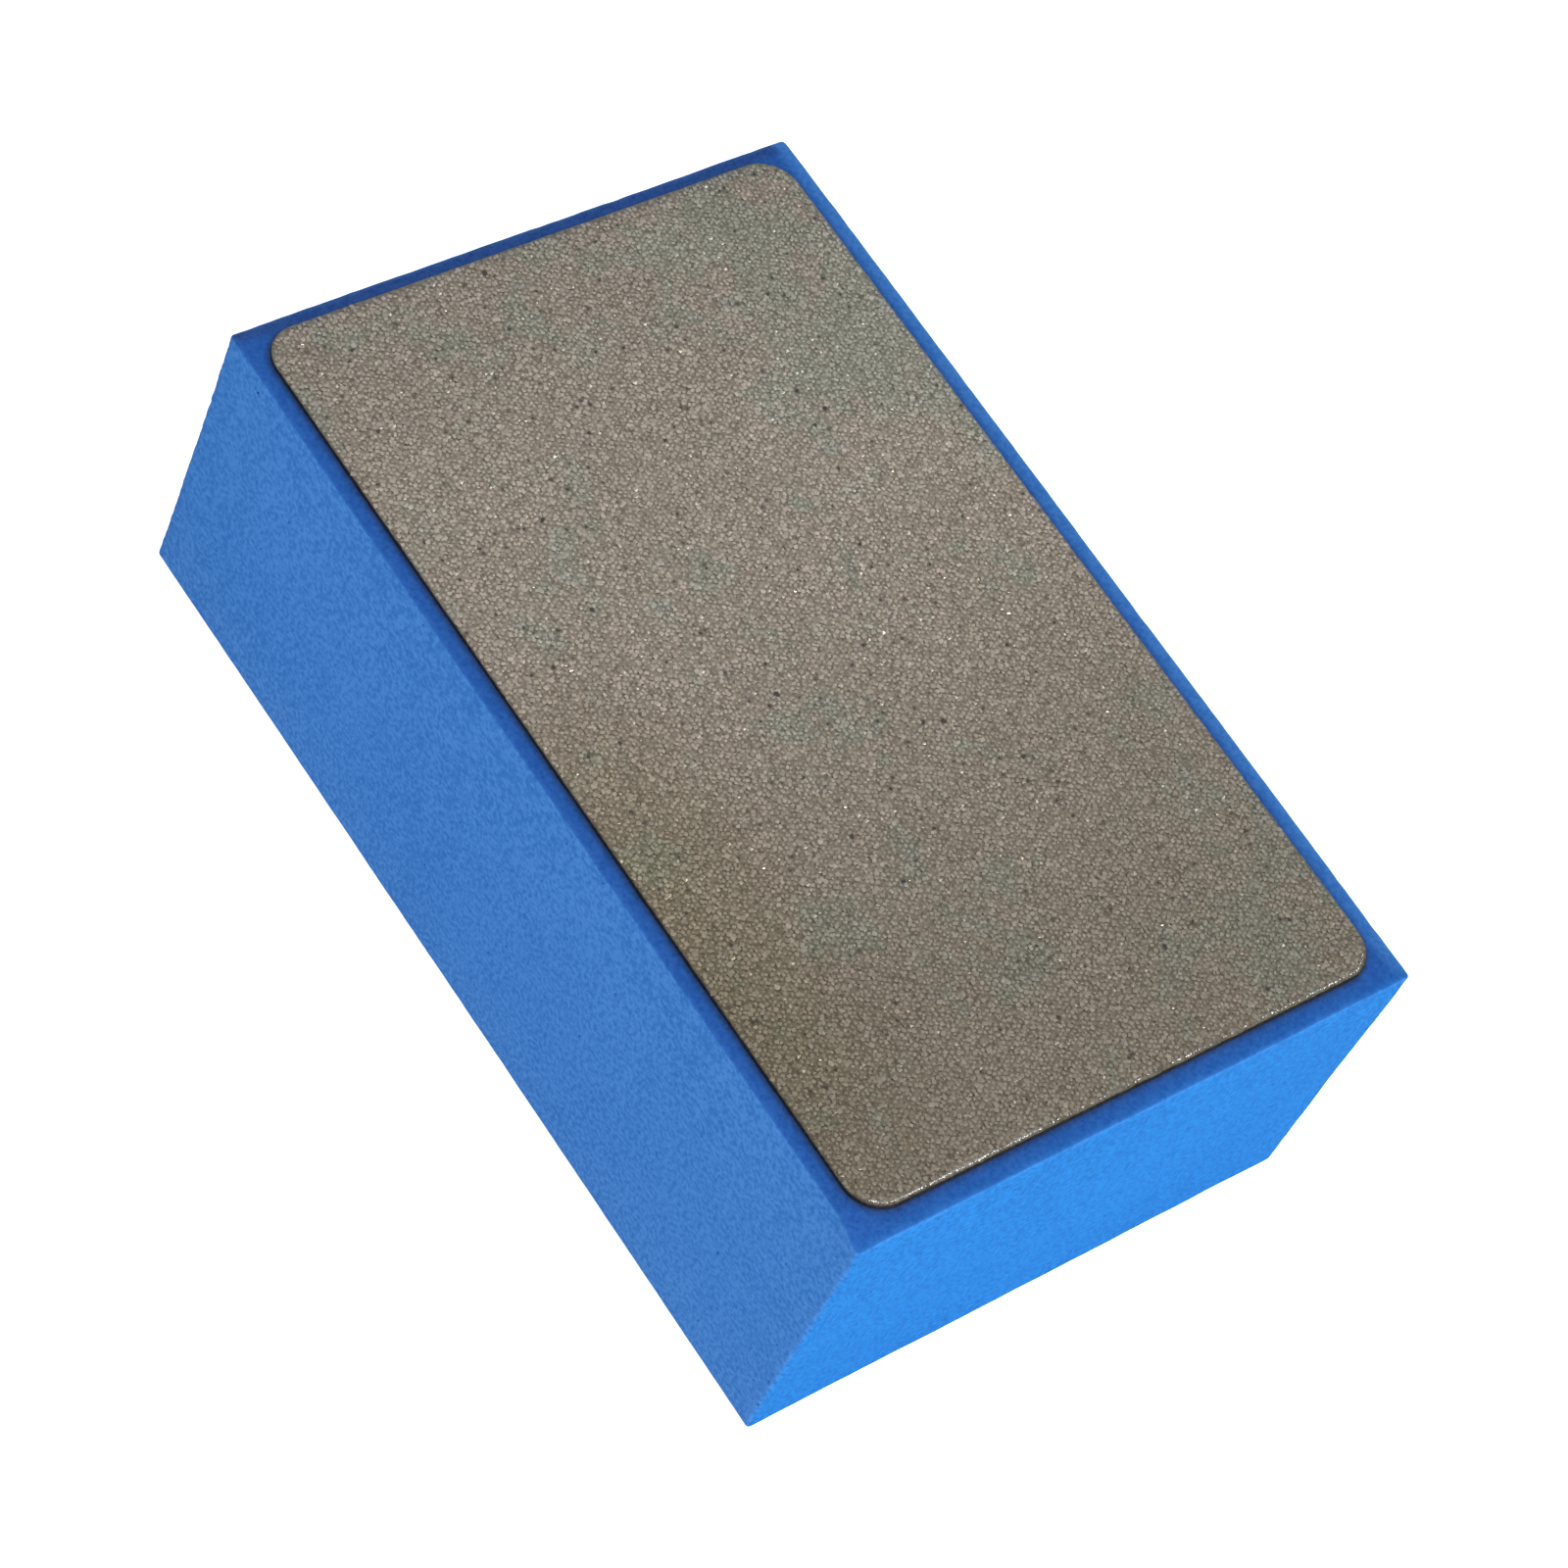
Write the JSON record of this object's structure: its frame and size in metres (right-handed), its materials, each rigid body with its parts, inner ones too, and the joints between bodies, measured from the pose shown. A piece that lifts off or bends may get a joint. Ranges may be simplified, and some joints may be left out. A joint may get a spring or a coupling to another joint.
{
  "type": "sanding block",
  "caption": "Rectangular blue foam hand block with a thin round-cornered metal plate taped on top, coated with nickel-bonded diamond grit, for sanding and smoothing hard surfaces by hand.",
  "frame": {"origin": "centre of the foam's back face, the face opposite the grit", "axes": "+X along the block's length, +Y across its width, +Z out of the grit-covered working face; the plate's wider end rim is at +X"},
  "size_m": [0.09, 0.0556, 0.0306],
  "materials": {
    "foam": "matte",
    "tape": "matte",
    "steel": "satin",
    "nickel": "matte",
    "diamond": "matte"
  },
  "bodies": {
    "root": {"foam_body": "foam", "adhesive_tape": "tape", "steel_plate": "steel", "nickel_plating": "nickel", "diamond_grit": "diamond"}
  },
  "joints": []
}
